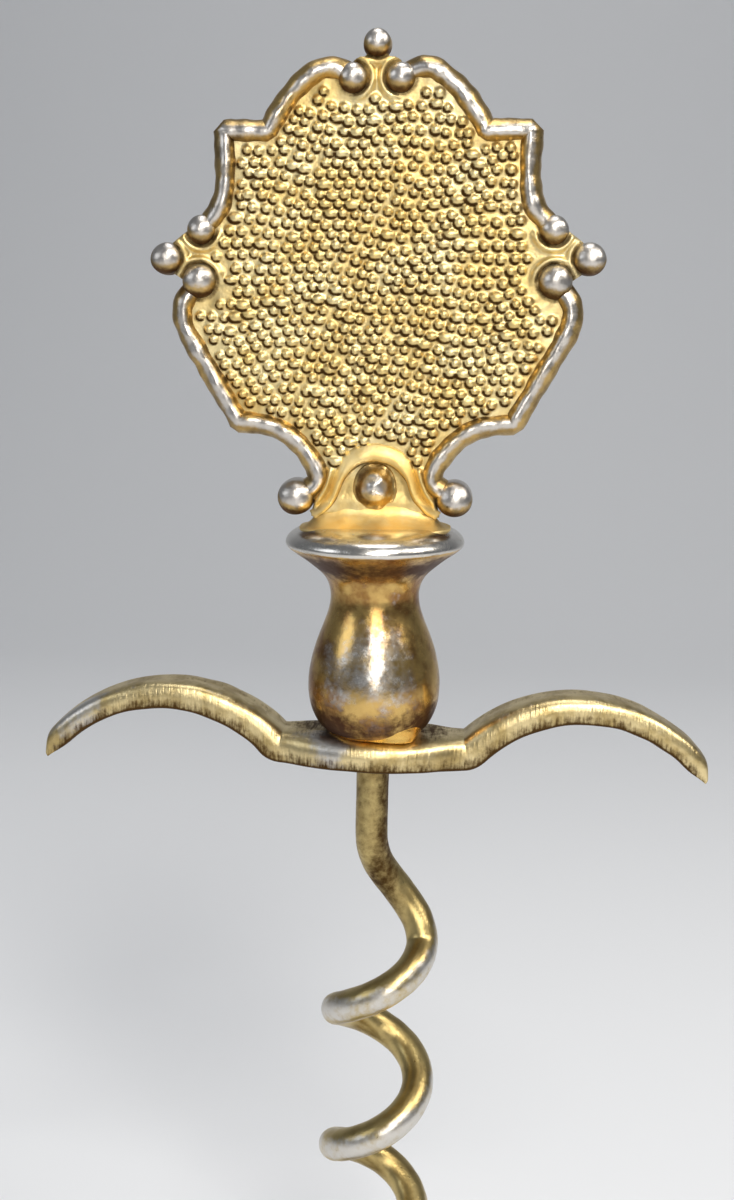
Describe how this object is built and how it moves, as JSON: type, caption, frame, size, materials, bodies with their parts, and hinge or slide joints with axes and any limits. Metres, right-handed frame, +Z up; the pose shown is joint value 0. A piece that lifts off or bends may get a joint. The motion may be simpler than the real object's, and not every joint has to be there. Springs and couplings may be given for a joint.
{
  "type": "corkscrew",
  "caption": "Small corkscrew: ornamental cartouche on a turned baluster, curved finger bar with a rest each side, and a right-hand wire worm.",
  "frame": {"origin": "on the axis of the shank, at the underside of the finger bar", "axes": "+Z up the tool to the crown of the cartouche, +X along the finger bar, -Y out of the decorated front"},
  "size_m": [0.051, 0.0136, 0.1096],
  "materials": {
    "gilt_ground": "old gilding, granulated, satin",
    "worn_relief": "gilding rubbed through to silver-grey on the high points, dark in the recesses",
    "gilt_stem": "mottled gilding over silver-grey, with dark pits",
    "gilt_bar": "pale gilding with cross file marks",
    "gilt_wire": "brown-gold wash over steel, rubbed bright on the outside of the coil",
    "solder": "orange-gold brazing"
  },
  "bodies": {
    "root": {"arch_band": "gilt_ground", "baluster": "gilt_stem", "boss": "worn_relief", "crown_ball": "worn_relief", "crown_bead_left": "worn_relief", "crown_bead_right": "worn_relief", "ear_ball_left": "worn_relief", "ear_ball_right": "worn_relief", "finger_bar": "gilt_bar", "ground_plate": "gilt_ground", "rim_lower_left": "worn_relief", "rim_lower_right": "worn_relief", "rim_upper_left": "worn_relief", "rim_upper_right": "worn_relief", "scroll_bead_left": "worn_relief", "scroll_bead_right": "worn_relief", "shoulder_bead_left": "worn_relief", "shoulder_bead_right": "worn_relief", "side_bead_left": "worn_relief", "side_bead_right": "worn_relief", "socle": "gilt_ground", "solder_fillet": "solder", "worm": "gilt_wire"}
  },
  "joints": []
}
